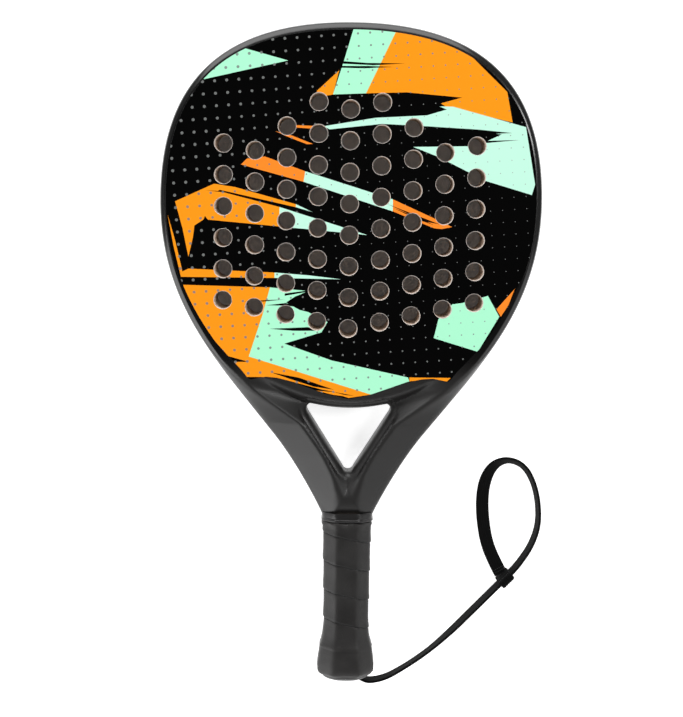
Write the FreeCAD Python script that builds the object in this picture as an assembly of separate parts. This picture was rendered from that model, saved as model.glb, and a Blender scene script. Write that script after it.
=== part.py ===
import FreeCAD, Part
import math
import os

from FreeCAD import Vector

# A padel racket lying flat: X across the face, Y from the butt to the head tip, Z up.
# The origin is below the middle of the racket, on the surface that it lies on.
os.makedirs("parts", exist_ok=True)

# ---------------------------------------------------------------- driving dimensions, mm
LENGTH = 455.0
WIDTH = 260.0
THICK = 38.0
EDGE_RADIUS = 4.5
TIP_Y = LENGTH / 2
HALF_WIDTH = WIDTH / 2
MID_Z = THICK / 2

# Composite frame: the hoop's tube, its wall, and the taper of the throat towards the handle.
TUBE_WIDTH = 12.0
TUBE_WALL = 2.2
WIDEST_Y = 107.0
ARM_TOP = (77.7, -19.8)
ARM_FOOT = (50.9, -53.2)
ARM_PULL_UP = 45.0
ARM_PULL_DOWN = 20.0
NECK_HALF = 17.1
NECK_Y = -109.0
TAPER_Y = -30.0
NECK_DROP = 4.0

# Open triangle of the throat, and the bridge above it.
GAP_CORNER = (27.9, -37.0)
GAP_FOOT = (3.6, -75.4)
GAP_APEX_Y = -79.0
GAP_TOP_Y = -31.0
GAP_SAG_Y = -34.1
GAP_RADIUS = 3.0
CORE_CORNER = (70.0, -6.0)
CORE_SAG_Y = -17.0

# Faces: two laminate skins let into the frame, over the foam core.
SKIN = 1.0
SKIN_BORDER = 5.0
SKIN_WAVE = [(0, -26.3), (17, -22.6), (40.7, -14.3), (56.9, -11.7), (66.9, -13.7), (75, -10)]
HOLE_RADIUS = 6.0
HOLE_RIM = 0.5
HOLE_PITCH_X = 21.2
HOLE_MIDDLE_X = -1.0
HOLE_PITCH_Y = 21.0
HOLE_TOP_Y = 168.7
HOLE_RISE = 4.6
HOLE_ROWS = 8
ROWS_MISSING = (0, 0, 1, 2, 2)

# Handle: stations from the throat to the butt, each (y, half width, half thickness) of the grip.
GRIP_WRAP = 1.9
GRIP_STATIONS = [
    (-112.0, 17.1, 15.5),
    (-150.0, 16.4, 15.2),
    (-185.0, 15.9, 14.9),
    (-195.0, 16.8, 15.5),
    (-201.0, 18.3, 16.6),
    (-207.0, 19.3, 17.4),
    (-214.0, 19.9, 17.9),
    (-219.0, 19.7, 17.7),
    (-223.0, 18.2, 16.3),
]
OCTAGON_CUT = 0.52
PALLET_END_Y = -197.0
SPIGOT_END_Y = -207.0
SPIGOT_HALF = 10.5
SHAFT_INNER = 1.5
SHAFT_WIDTH = 8.0
SHAFT_THICK = 12.0
SHAFT_WALL = 2.0
SHAFT_END_Y = -200.0
CHAMBER_END_Y = -222.0
CHAMBER_HALF = 11.0
BAND_WIDTH = 5.5
BAND_THICK = 0.9
BAND_TOP_Y = -107.5

# Screws that hold the butt cap on the pallet's spigot, one from each side.
SCREW_Y = -202.0
SCREW_RADIUS = 1.1
SCREW_LENGTH = 7.0
SCREW_HEAD = 2.4
SCREW_HEAD_DEPTH = 1.4
CAP_SIDE_X = 14.0

# Wrist strap: flat webbing that stands on its edge, with its knot inside the butt cap.
STRAP_WIDTH = 9.5
STRAP_THICK = 1.7
KNOT_SIZE = (11.0, 7.5, 10.0)
KNOT_GAP = 0.5
STRAP_ROUTE = [
    (1.5, -215.0, 14.5),
    (9.5, -229.8, 13.6),
    (26.0, -229.3, 12.0),
    (43.0, -220.0, 10.0),
    (60.0, -208.2, 8.4),
    (76.0, -193.5, 7.4),
    (120.0, -148.0, 7.1),
    (130.0, -133.5, 6.2),
    (135.0, -118.5, 5.3),
    (134.5, -102.5, 4.9),
    (131.0, -88.0, 4.9),
    (124.0, -76.0, 4.9),
    (112.5, -71.5, 4.9),
    (101.5, -76.0, 4.9),
    (95.3, -87.5, 4.9),
    (93.8, -102.0, 4.9),
    (95.2, -117.0, 5.0),
    (98.8, -131.5, 5.3),
    (104.0, -144.0, 5.7),
    (109.4, -153.8, 6.2),
]
CORD_HOLE = (3.4, 9.6, 12.6)

# Keeper: a sleeve round the strap's tail, which slides along its straight stretch.
KEEPER_RUN = (5, 6)
KEEPER_X = 112.0
KEEPER_LENGTH = 10.7
KEEPER_SLOT = (2.6, 10.5)
KEEPER_WALL = 1.7


def write(name, shape):
    """Save one piece as a STEP file named for its node."""
    if not shape.isValid():
        raise ValueError("invalid shape: " + name)
    shape.exportStep("parts/" + name + ".step")
    print(name, "solids", len(shape.Solids), "volume", round(shape.Volume, 1))


def at(point, height=0.0):
    return Vector(point[0], point[1], height)


def mirrored(point):
    return (-point[0], point[1])


def bezier(poles):
    curve = Part.BezierCurve()
    curve.setPoles([at(pole) for pole in poles])
    return curve.toShape()


def line(start, end):
    return Part.LineSegment(at(start), at(end)).toShape()


def polygon_face(points):
    return Part.Face(Part.makePolygon([at(point) for point in points + points[:1]]))


def both_sides(makers):
    """Edges of the right half followed by their mirror images, enough to close a face."""
    right = [maker(poles) for maker, poles in makers]
    left = [maker([mirrored(pole) for pole in poles]) for maker, poles in makers]
    return right + left


def segment(poles):
    return line(poles[0], poles[1])


def closed_face(edges):
    return Part.Face(Part.Wire(Part.__sortEdges__(edges)))


def inset(face, distance):
    """Face with its outline moved outwards, or inwards where the distance is negative."""
    return face.makeOffset2D(distance).toNurbs()


def plate(face, bottom, top):
    """Solid between two heights over a flat face."""
    solid = face.extrude(Vector(0, 0, top - bottom))
    solid.translate(Vector(0, 0, bottom))
    return solid


def beyond(start, end, distance):
    """Point past the end of a line, so that a curve leaves the line without a corner."""
    span = math.hypot(end[0] - start[0], end[1] - start[1])
    return tuple(e + (e - s) * distance / span for s, e in zip(start, end))


# ---------------------------------------------------------------- flat outlines
arm_pull_up = beyond(ARM_FOOT, ARM_TOP, ARM_PULL_UP)
arm_pull_down = beyond(ARM_TOP, ARM_FOOT, ARM_PULL_DOWN)
racket_face = closed_face(both_sides([
    (bezier, [(0, TIP_Y), (88, TIP_Y), (HALF_WIDTH, 187), (HALF_WIDTH, WIDEST_Y)]),
    (bezier, [(HALF_WIDTH, WIDEST_Y), (HALF_WIDTH, 52), arm_pull_up, ARM_TOP]),
    (segment, [ARM_TOP, ARM_FOOT]),
    (bezier, [ARM_FOOT, arm_pull_down, (23.7, -94.4), (NECK_HALF, NECK_Y)]),
]) + [line((-NECK_HALF, NECK_Y), (NECK_HALF, NECK_Y))])


def window(edge_points, edge_maker):
    """Large face above a lower edge that runs from left to right, to crop a face with."""
    left = edge_points[0]
    right = edge_points[-1]
    far_right = (WIDTH, right[1] + HALF_WIDTH / 2)
    far_left = mirrored(far_right)
    return closed_face([
        edge_maker(edge_points),
        line(right, far_right),
        line(far_right, (WIDTH, LENGTH)),
        line((WIDTH, LENGTH), (-WIDTH, LENGTH)),
        line((-WIDTH, LENGTH), far_left),
        line(far_left, left),
    ])


def arc_through(points):
    return Part.Arc(*[at(point) for point in points]).toShape()


def spline_through(points):
    curve = Part.BSplineCurve()
    curve.interpolate([at(point) for point in points])
    return curve.toShape()


core_edge = [mirrored(CORE_CORNER), (0, CORE_SAG_Y), CORE_CORNER]
core_window = window(core_edge, arc_through)
core_face = inset(racket_face, -TUBE_WIDTH).common(core_window).Faces[0]

skin_edge = [mirrored(point) for point in reversed(SKIN_WAVE[1:])] + SKIN_WAVE
skin_window = window(skin_edge, spline_through)
skin_face = inset(racket_face, -SKIN_BORDER).common(skin_window).Faces[0]

arm_slope = (GAP_CORNER[0] - GAP_FOOT[0]) / (GAP_CORNER[1] - GAP_FOOT[1])
bridge_top = (GAP_CORNER[0] - arm_slope * GAP_CORNER[1], 0.0)
bridge_zone = polygon_face([GAP_CORNER, bridge_top, mirrored(bridge_top), mirrored(GAP_CORNER)])

gap_corner_top = (GAP_CORNER[0] - GAP_RADIUS / 2, GAP_TOP_Y)
gap_face = closed_face([
    arc_through([mirrored(gap_corner_top), (0, GAP_SAG_Y), gap_corner_top]),
    arc_through([gap_corner_top, (GAP_CORNER[0] + GAP_RADIUS / 5, GAP_TOP_Y - GAP_RADIUS), GAP_CORNER]),
    line(GAP_CORNER, GAP_FOOT),
    arc_through([GAP_FOOT, (0, GAP_APEX_Y), mirrored(GAP_FOOT)]),
    line(mirrored(GAP_FOOT), mirrored(GAP_CORNER)),
    arc_through([
        mirrored(GAP_CORNER),
        (-GAP_CORNER[0] - GAP_RADIUS / 5, GAP_TOP_Y - GAP_RADIUS),
        mirrored(gap_corner_top),
    ]),
])

bridge_face = bridge_zone.cut([core_face, gap_face]).Faces[0]
frame_face = racket_face.cut([core_face, gap_face, bridge_zone]).Faces[0]

hole_centres = []
for column in range(-len(ROWS_MISSING) + 1, len(ROWS_MISSING)):
    step = abs(column)
    for row in range(ROWS_MISSING[step], HOLE_ROWS):
        hole_y = HOLE_TOP_Y + HOLE_RISE * step - HOLE_PITCH_Y * row
        hole_centres.append((HOLE_MIDDLE_X + HOLE_PITCH_X * column, hole_y))
print("holes", len(hole_centres))


# ---------------------------------------------------------------- head and throat
def side_profile(margin):
    """Solid across the racket whose side view tapers from the head to the neck."""
    low = margin
    neck = NECK_DROP + margin
    points = [
        (LENGTH, low), (TAPER_Y, low), (NECK_Y, neck), (-LENGTH, neck),
        (-LENGTH, THICK - neck), (NECK_Y, THICK - neck), (TAPER_Y, THICK - low), (LENGTH, THICK - low),
    ]
    wire = Part.makePolygon([Vector(-WIDTH, y, z) for y, z in points + points[:1]])
    return Part.Face(wire).extrude(Vector(2 * WIDTH, 0, 0))


def rounded_rim(solid):
    """Round the long edges between the flat faces and the outer side of the head."""
    rim = []
    for edge in solid.Edges:
        box = edge.BoundBox
        flat = box.ZLength < 0.01 and (box.ZMin < 0.01 or box.ZMax > THICK - 0.01)
        outer = box.XMax > HALF_WIDTH / 2 or box.XMin < -HALF_WIDTH / 2
        if flat and outer and box.YLength > EDGE_RADIUS:
            rim.append(edge)
    return solid.makeFillet(EDGE_RADIUS, rim)


racket_blank = plate(racket_face, 0, THICK).common(side_profile(0)).Solids[0]
racket_blank = rounded_rim(racket_blank)
front_recess = plate(skin_face, THICK - SKIN, THICK + 1)
rear_recess = plate(skin_face, -1, SKIN)
recesses = [front_recess, rear_recess]


def octagon(station, shrink=0.0):
    """Eight-sided ring across the handle, with its corners cut at about 45 degrees."""
    y, half_width, half_thick = station
    half_width -= shrink
    half_thick -= shrink
    corner = OCTAGON_CUT * min(half_width, half_thick)
    across = half_width - corner
    up = half_thick - corner
    points = [
        (across, half_thick), (half_width, up), (half_width, -up), (across, -half_thick),
        (-across, -half_thick), (-half_width, -up), (-half_width, up), (-across, half_thick),
    ]
    corners = [Vector(x, y, MID_Z + z) for x, z in points + points[:1]]
    return Part.makePolygon(corners)


def octagon_loft(stations, shrink=0.0):
    return Part.makeLoft([octagon(station, shrink) for station in stations], True, True)


def station_at(y):
    first = GRIP_STATIONS[0]
    last = GRIP_STATIONS[-1]
    if y >= first[0]:
        return (y, first[1], first[2])
    if y <= last[0]:
        return (y, last[1], last[2])
    for upper, lower in zip(GRIP_STATIONS, GRIP_STATIONS[1:]):
        if lower[0] <= y <= upper[0]:
            share = (upper[0] - y) / (upper[0] - lower[0])
            half_width = upper[1] + share * (lower[1] - upper[1])
            half_thick = upper[2] + share * (lower[2] - upper[2])
            return (y, half_width, half_thick)


def between(y_start, y_end):
    """Handle stations inside a stretch, with stations worked out at its two ends."""
    inside = [station for station in GRIP_STATIONS if y_end < station[0] < y_start]
    return [station_at(y_start)] + inside + [station_at(y_end)]


def block(x_range, y_range, z_range):
    size = [end - start for start, end in (x_range, y_range, z_range)]
    return Part.makeBox(*size, Vector(x_range[0], y_range[0], z_range[0]))


def shaft_pair(wall, y_top):
    """Two bars side by side, as wide as the tube ends or as the foam inside their wall."""
    bars = []
    for side in (-1, 1):
        ends = (side * (SHAFT_INNER + wall), side * (SHAFT_INNER + SHAFT_WIDTH - wall))
        reach = SHAFT_THICK / 2 - wall
        bars.append(block(
            (min(ends), max(ends)), (SHAFT_END_Y, y_top), (MID_Z - reach, MID_Z + reach),
        ))
    return bars


# The two tube ends run down inside the pallet, side by side, and stay open at the bottom.
shafts = shaft_pair(0, NECK_Y)
shaft_bores = shaft_pair(SHAFT_WALL, NECK_Y + 2 * TUBE_WALL)

frame_outer = plate(frame_face, 0, THICK).common(racket_blank)
filler_face = inset(racket_face, -TUBE_WALL).cut([
    inset(core_face, TUBE_WALL),
    inset(gap_face, TUBE_WALL),
    inset(bridge_zone, TUBE_WALL),
]).Faces[0]
hoop_filler = plate(filler_face, 0, THICK).common(side_profile(TUBE_WALL))
tube_filler = hoop_filler.fuse(shaft_bores).Solids[0]
frame_tube = frame_outer.fuse(shafts).cut([tube_filler] + recesses).Solids[0]
write("frame_tube", frame_tube)
write("tube_filler", tube_filler)

bridge_blank = plate(bridge_face, 0, THICK).common(racket_blank)
bridge_core = bridge_zone.cut([inset(core_face, TUBE_WALL), inset(gap_face, TUBE_WALL)]).Faces[0]
bridge_filler = plate(bridge_core, 0, THICK).common(side_profile(TUBE_WALL)).Solids[0]
write("throat_bridge", bridge_blank.cut([bridge_filler] + recesses).Solids[0])
write("bridge_filler", bridge_filler)

hole_discs = [
    Part.Face(Part.Wire(Part.makeCircle(HOLE_RADIUS, at(centre)))) for centre in hole_centres
]
pierced_core = core_face.cut(hole_discs).Faces[0]
pierced_skin = skin_face.cut(hole_discs).Faces[0]
write("foam_core", plate(pierced_core, SKIN, THICK - SKIN))

rims = Part.makeCompound([
    Part.makeCone(HOLE_RADIUS, HOLE_RADIUS + HOLE_RIM, HOLE_RIM, at(centre, THICK - HOLE_RIM))
    for centre in hole_centres
])
front_skin = plate(pierced_skin, THICK - SKIN, THICK).cut(rims).Solids[0]
rear_skin = front_skin.mirror(Vector(0, 0, MID_Z), Vector(0, 0, 1))
write("front_skin", front_skin)
write("rear_skin", rear_skin)


# ---------------------------------------------------------------- handle
handle_end = GRIP_STATIONS[-1][0]
grip_start = BAND_TOP_Y - BAND_WIDTH
grip_outer = octagon_loft(between(NECK_Y, handle_end))
grip_inner = octagon_loft(between(NECK_Y, handle_end), GRIP_WRAP)
grip_tape = grip_outer.cut(grip_inner).Solids[0]
write("grip_tape", grip_tape)

spigot_station = (SPIGOT_END_Y, SPIGOT_HALF, SPIGOT_HALF)
spigot = octagon_loft([(PALLET_END_Y, SPIGOT_HALF, SPIGOT_HALF), spigot_station])
pallet = octagon_loft(between(NECK_Y, PALLET_END_Y), GRIP_WRAP).fuse(spigot)

screw_holes = []
screws = []
for side in (-1, 1):
    inward = Vector(-side, 0, 0)
    seat = Vector(side * CAP_SIDE_X, SCREW_Y, MID_Z)
    shank = Part.makeCylinder(SCREW_RADIUS, SCREW_LENGTH, seat, inward)
    head = Part.makeCone(SCREW_HEAD, SCREW_RADIUS, SCREW_HEAD_DEPTH, seat, inward)
    screws.append(shank.fuse(head).removeSplitter().Solids[0])
screw_group = Part.makeCompound(screws)
write("handle_pallet", pallet.cut(shafts + screws).Solids[0])
write("butt_cap_screws", screw_group)

end_plate = octagon_loft([
    (handle_end, GRIP_STATIONS[-1][1], GRIP_STATIONS[-1][2]),
    (-TIP_Y + 1.8, 16.6, 14.7),
    (-TIP_Y, 12.4, 10.6),
])
cap_skirt = octagon_loft(between(PALLET_END_Y, handle_end), GRIP_WRAP)
chamber = block(
    (-CHAMBER_HALF, CHAMBER_HALF),
    (CHAMBER_END_Y, SPIGOT_END_Y),
    (MID_Z - CHAMBER_HALF, MID_Z + CHAMBER_HALF),
)
hole_x, hole_width, hole_height = CORD_HOLE
exit_z = STRAP_ROUTE[1][2]
cord_hole = block(
    (hole_x, hole_x + hole_width),
    (-TIP_Y - 1, CHAMBER_END_Y),
    (exit_z - hole_height / 2, exit_z + hole_height / 2),
)
sockets = [
    Part.makeCylinder(SCREW_HEAD, WIDTH, Vector(side * CAP_SIDE_X, SCREW_Y, MID_Z), Vector(side, 0, 0))
    for side in (-1, 1)
]
butt_cap = cap_skirt.fuse(end_plate).cut([spigot, chamber, cord_hole] + screws + sockets)
write("butt_cap", butt_cap.Solids[0])

band_stations = [station_at(BAND_TOP_Y), station_at(grip_start)]
band = octagon_loft(band_stations, -BAND_THICK).cut(octagon_loft(band_stations))
write("finishing_tape", band.cut([frame_tube, grip_outer]).Solids[0])


# ---------------------------------------------------------------- wrist strap
def tangent_route(points):
    """Straight runs joined by tangent arcs, each as large as its two runs allow."""
    corners = [Vector(*point) for point in points]
    edges = []
    start = corners[0]
    for before, corner, after in zip(corners, corners[1:], corners[2:]):
        back = (before - corner).normalize()
        ahead = (after - corner).normalize()
        half_turn = (math.pi - back.getAngle(ahead)) / 2
        reach = 0.45 * min((before - corner).Length, (after - corner).Length)
        radius = reach / math.tan(half_turn)
        middle = (back + ahead).normalize() * (radius / math.cos(half_turn) - radius)
        arc_start = corner + back * reach
        arc_end = corner + ahead * reach
        edges.append(Part.LineSegment(start, arc_start).toShape())
        edges.append(Part.Arc(arc_start, corner + middle, arc_end).toShape())
        start = arc_end
        turn = math.degrees(2 * half_turn)
        print("strap bend radius", round(radius, 1), "turn", round(turn, 1))
    edges.append(Part.LineSegment(start, corners[-1]).toShape())
    return Part.Wire(edges)


def ribbon(route):
    """Webbing of rectangular section that keeps its width upright along the route."""
    start = route.Vertexes[0].Point
    along = route.Edges[0].tangentAt(route.Edges[0].FirstParameter)
    side = along.cross(Vector(0, 0, 1)).normalize() * (STRAP_THICK / 2)
    up = Vector(0, 0, STRAP_WIDTH / 2)
    corners = [start + side + up, start + side - up, start - side - up, start - side + up]
    section = Part.makePolygon(corners + corners[:1])
    sweep = Part.BRepOffsetAPI.MakePipeShell(route)
    sweep.setBiNormalMode(Vector(0, 0, 1))
    sweep.setTransitionMode(1)
    sweep.add(section)
    sweep.build()
    sweep.makeSolid()
    return sweep.shape()


strap_route = tangent_route(STRAP_ROUTE)
wrist_strap = ribbon(strap_route)
section_volume = STRAP_WIDTH * STRAP_THICK * strap_route.Length
print("strap length", round(strap_route.Length, 1), "volume / section x length",
      round(wrist_strap.Volume / section_volume, 3))
write("wrist_strap", wrist_strap)

knot_centre = Vector(*STRAP_ROUTE[0])
knot_x, knot_y, knot_z = KNOT_SIZE
knot = block(
    (knot_centre.x - knot_x / 2, knot_centre.x + knot_x / 2),
    (knot_centre.y + KNOT_GAP, knot_centre.y + KNOT_GAP + knot_y),
    (knot_centre.z - knot_z / 2, knot_centre.z + knot_z / 2),
)
knot = knot.makeChamfer(knot_z / 6, knot.Edges)
write("strap_knot", knot)

run_start = Vector(*STRAP_ROUTE[KEEPER_RUN[0]])
run_end = Vector(*STRAP_ROUTE[KEEPER_RUN[1]])
run_axis = (run_end - run_start).normalize()
keeper_share = (KEEPER_X - run_start.x) / (run_end.x - run_start.x)
keeper_centre = run_start + (run_end - run_start) * keeper_share
print("keeper centre", keeper_centre, "axis", run_axis)

slot_width, slot_height = KEEPER_SLOT
keeper_outer = Part.makeBox(
    KEEPER_LENGTH, slot_width + 2 * KEEPER_WALL, slot_height + 2 * KEEPER_WALL,
)
keeper_slot = Part.makeBox(
    KEEPER_LENGTH + 2, slot_width, slot_height, Vector(-1, KEEPER_WALL, KEEPER_WALL),
)
long_edges = [edge for edge in keeper_outer.Edges if edge.BoundBox.XLength > KEEPER_LENGTH / 2]
keeper = keeper_outer.makeFillet(KEEPER_WALL * 0.9, long_edges).cut(keeper_slot)
keeper.translate(Vector(
    -KEEPER_LENGTH / 2, -slot_width / 2 - KEEPER_WALL, -slot_height / 2 - KEEPER_WALL,
))
yaw = math.degrees(math.atan2(run_axis.y, run_axis.x))
keeper.rotate(Vector(), Vector(0, 0, 1), yaw)
keeper.translate(keeper_centre)
write("strap_keeper", keeper)
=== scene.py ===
import math

import bpy
import bmesh
import numpy as np
from mathutils import Matrix, Vector
from mathutils.geometry import delaunay_2d_cdt


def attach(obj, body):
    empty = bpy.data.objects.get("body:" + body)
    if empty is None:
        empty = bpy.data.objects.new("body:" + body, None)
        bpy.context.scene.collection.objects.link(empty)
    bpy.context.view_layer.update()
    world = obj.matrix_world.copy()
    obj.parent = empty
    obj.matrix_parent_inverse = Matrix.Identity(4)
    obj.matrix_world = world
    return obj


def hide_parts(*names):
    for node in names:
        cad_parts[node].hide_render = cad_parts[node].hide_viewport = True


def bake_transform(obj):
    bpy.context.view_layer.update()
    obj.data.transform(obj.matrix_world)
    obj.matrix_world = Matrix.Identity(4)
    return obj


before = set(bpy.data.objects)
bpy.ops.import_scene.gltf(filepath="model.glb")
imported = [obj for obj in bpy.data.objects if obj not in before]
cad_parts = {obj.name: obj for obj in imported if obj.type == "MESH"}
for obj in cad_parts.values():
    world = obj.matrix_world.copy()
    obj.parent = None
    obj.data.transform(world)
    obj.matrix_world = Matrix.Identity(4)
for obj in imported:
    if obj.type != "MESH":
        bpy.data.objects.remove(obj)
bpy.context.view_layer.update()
MM = 0.001

# ---------------------------------------------------------------- camera, light and table
# The racket lies on a white table among four softboxes: strong ones on the left and past the head,
# weak ones on the right and past the handle. A small light picks out the rim at the upper right.
# Nothing bright hangs straight above, so the lacquer stays black.
CAMERA_PLACE = (-0.0052, 0.1148, 1.119)
CAMERA_TIP = math.radians(5.99)
CAMERA_ROLL = math.radians(0.69)
CAMERA_LENS = 80.6
camera_data = bpy.data.cameras.new("camera")
camera_data.lens = CAMERA_LENS
camera = bpy.data.objects.new("camera", camera_data)
tipped = Matrix.Rotation(-CAMERA_TIP, 4, "X") @ Matrix.Rotation(CAMERA_ROLL, 4, "Z")
camera.matrix_world = Matrix.Translation(CAMERA_PLACE) @ tipped
bpy.context.scene.collection.objects.link(camera)
bpy.context.scene.camera = camera
bpy.context.scene.view_settings.view_transform = "Standard"


def linear(hex_colour):
    """sRGB hex colour as linear RGBA."""
    channels = [int(hex_colour[i:i + 2], 16) / 255 for i in (1, 3, 5)]
    return [c / 12.92 if c <= 0.04045 else ((c + 0.055) / 1.055) ** 2.4 for c in channels] + [1.0]


def new_material(name):
    """A node material with no nodes yet, as the material and its tree."""
    material = bpy.data.materials.new(name)
    material.use_nodes = True
    tree = material.node_tree
    tree.nodes.clear()
    return material, tree


def add(tree, kind, settings=None, **links):
    """Add a node: settings are its properties, links are input values or other nodes' outputs."""
    node = tree.nodes.new(kind)
    for key, value in (settings or {}).items():
        setattr(node, key, value)
    for key, value in links.items():
        socket = node.inputs[int(key[1:])] if key[0] == "_" else node.inputs[key.replace("_", " ")]
        if isinstance(value, bpy.types.NodeSocket):
            tree.links.new(value, socket)
        else:
            socket.default_value = value
    return node


def softbox(name, place, width, depth, power):
    """Rectangular studio light that faces the middle of the racket."""
    light = bpy.data.lights.new(name, "AREA")
    light.shape = "RECTANGLE"
    light.size = width
    light.size_y = depth
    light.energy = power
    box = bpy.data.objects.new(name, light)
    box.location = place
    box.rotation_euler = (-Vector(place)).to_track_quat("-Z", "Y").to_euler()
    bpy.context.scene.collection.objects.link(box)


softbox("left_softbox", (-1.65, -0.95, 1.15), 1.5, 1.9, 28)
softbox("right_softbox", (1.65, -0.95, 1.15), 1.3, 1.7, 7)
softbox("head_softbox", (-0.25, 1.6, 1.0), 2.2, 1.1, 28)
softbox("foot_softbox", (0.0, -1.9, 1.1), 1.8, 1.0, 7)
softbox("upper_right_light", (0.95, 0.45, 1.5), 0.3, 0.7, 8)

# The room is dim overhead and brighter towards the horizon.
world = bpy.data.worlds.new("studio")
world.use_nodes = True
tree = world.node_tree
sky_place = add(tree, "ShaderNodeTexCoord")
sky_parts = add(tree, "ShaderNodeSeparateXYZ", _0=sky_place.outputs["Generated"])
sky_light = add(tree, "ShaderNodeMapRange", {"interpolation_type": "SMOOTHSTEP"}, _0=sky_parts.outputs["Z"],
                _1=0.55, _2=0.9, _3=0.28, _4=0.035)
tree.links.new(sky_light.outputs[0], tree.nodes["Background"].inputs["Strength"])
tree.nodes["Background"].inputs["Color"].default_value = (1, 1, 1, 1)
bpy.context.scene.world = world


def mesh_piece(name, points, faces, material=None):
    """Mesh object at the origin, with its place in its points, in metres."""
    mesh = bpy.data.meshes.new(name)
    mesh.from_pydata([tuple(point) for point in points], [], [tuple(face) for face in faces])
    mesh.update()
    piece = bpy.data.objects.new(name, mesh)
    bpy.context.scene.collection.objects.link(piece)
    if material:
        mesh.materials.append(material)
    return piece


# White laminated table top: matt, with a faint mottling. Its emission is painted light: strong all round
# the head, where it washes out the shadows, and faint under the head, where it lifts the shaded floor seen
# through the drilled holes.
HEAD_MIDDLE = (0.0, 0.1, 0.0)
PAINTED_GLOW_EDGE = (0.108, 0.13)
PAINTED_GLOW_STRENGTH = (0.02, 0.8)
table_material, tree = new_material("white_table_with_painted_glow")
table_noise = add(tree, "ShaderNodeTexNoise", Scale=30.0, Detail=3.0)
table_tone = add(tree, "ShaderNodeMix", {"data_type": "RGBA"}, _0=table_noise.outputs["Fac"],
                 _6=linear("#fbfbfb"), _7=linear("#fefefe"))
table_place = add(tree, "ShaderNodeTexCoord")
from_head = add(tree, "ShaderNodeVectorMath", {"operation": "DISTANCE"}, _0=table_place.outputs["Object"],
                _1=HEAD_MIDDLE)
# Painted light: the table's emission is faint within reach of the head's middle and strong beyond it.
painted_glow = add(tree, "ShaderNodeMapRange", {"interpolation_type": "SMOOTHSTEP"}, _0=from_head.outputs["Value"],
           _1=PAINTED_GLOW_EDGE[0], _2=PAINTED_GLOW_EDGE[1], _3=PAINTED_GLOW_STRENGTH[0], _4=PAINTED_GLOW_STRENGTH[1])
table_shader = add(tree, "ShaderNodeBsdfPrincipled", Base_Color=table_tone.outputs[2], Roughness=0.8,
                   Emission_Color=(1, 1, 1, 1), Emission_Strength=painted_glow.outputs[0])
add(tree, "ShaderNodeOutputMaterial", Surface=table_shader.outputs[0])
TABLE_REACH = 6.0
corners = [(-TABLE_REACH, -TABLE_REACH, 0), (TABLE_REACH, -TABLE_REACH, 0),
           (TABLE_REACH, TABLE_REACH, 0), (-TABLE_REACH, TABLE_REACH, 0)]
floor = mesh_piece("floor", corners, [(0, 1, 2, 3)], table_material)

# ---------------------------------------------------------------- wrist strap
# Flat woven polyester strap, 9.5 mm wide. It leaves the butt cap, runs to the right standing on its
# edge, passes through the keeper, and its loop comes back, laid flatter, to be sewn to the keeper.
STRAP_WIDTH = 0.0095
STRAP_THICK = 0.0017
STRAP_STEP = 0.0011
strap_route = [
    (1.5, -215.0, 14.5),
    (9.5, -229.8, 13.6),
    (26.0, -229.3, 12.0),
    (43.0, -220.0, 10.0),
    (60.0, -208.2, 8.4),
    (76.0, -193.5, 7.4),
    (84.0, -185.2, 7.3),
    (113.0, -155.2, 7.1),
    (120.0, -148.0, 6.8),
    (130.0, -133.5, 5.8),
    (135.0, -118.5, 5.1),
    (134.5, -102.5, 4.9),
    (131.0, -88.0, 4.9),
    (124.0, -76.0, 4.9),
    (112.5, -71.5, 4.9),
    (102.0, -76.0, 4.8),
    (96.3, -87.5, 4.5),
    (94.9, -102.0, 4.0),
    (96.1, -117.0, 3.4),
    (98.8, -131.5, 3.4),
    (104.0, -144.0, 4.4),
    (109.2, -153.4, 5.6),
]
# How far the strap leans from standing on its edge, in degrees, at each point of the route.
strap_lean = [8, 8, 6, 3, 4, 12, 14, 14, 13, 12, 12, 12, 14, 20, 30, 52, 68, 72, 74, 74, 75, 78]
route_curve = bpy.data.curves.new("strap_route", "CURVE")
route_curve.dimensions = "3D"
route_curve.resolution_u = 24
spline = route_curve.splines.new("NURBS")
spline.points.add(len(strap_route) - 1)
for point, place in zip(spline.points, strap_route):
    point.co = (*[c * MM for c in place], 1.0)
spline.order_u = 3
spline.use_endpoint_u = True
route_object = bpy.data.objects.new("strap_route", route_curve)
bpy.context.scene.collection.objects.link(route_object)
bpy.context.view_layer.update()
route_mesh = bpy.data.meshes.new_from_object(route_object)
route_points = np.array([vertex.co for vertex in route_mesh.vertices])
bpy.data.objects.remove(route_object)

# Where each route point acts along the curve, counted in the curve's spans.
spans = len(strap_route) - 2
acts_at = [0.0] + [i + 0.5 for i in range(spans)] + [float(spans)]
span_of_point = np.linspace(0, spans, len(route_points))
route_along = np.concatenate([[0], np.cumsum(np.linalg.norm(np.diff(route_points, axis=0), axis=1))])
strap_along = np.linspace(0, route_along[-1], int(route_along[-1] / STRAP_STEP) + 1)
strap_path = np.stack([np.interp(strap_along, route_along, route_points[:, i]) for i in range(3)], 1)
lean = np.radians(np.interp(np.interp(strap_along, route_along, span_of_point), acts_at, strap_lean))


def swept(path, profile, lean_angles):
    """Rings of a flat section carried along a path, upright but for the lean at each station."""
    tangent = np.gradient(path, axis=0)
    tangent /= np.linalg.norm(tangent, axis=1)[:, None]
    side = np.cross(tangent, (0, 0, 1))
    side /= np.linalg.norm(side, axis=1)[:, None]
    up = np.cross(side, tangent)
    cos, sin = np.cos(lean_angles)[:, None], np.sin(lean_angles)[:, None]
    wide = up * cos + side * sin
    thin = side * cos - up * sin
    return path[:, None] + wide[:, None] * profile[None, :, :1] + thin[:, None] * profile[None, :, 1:]


def tube_faces(rings, around):
    """Quads between rings of points, with a flat face over each end."""
    faces = []
    for ring in range(rings - 1):
        for i in range(around):
            j = (i + 1) % around
            start = ring * around
            faces.append((start + i, start + j, start + around + j, start + around + i))
    faces.append(tuple(range(around))[::-1])
    faces.append(tuple((rings - 1) * around + i for i in range(around)))
    return faces


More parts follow.
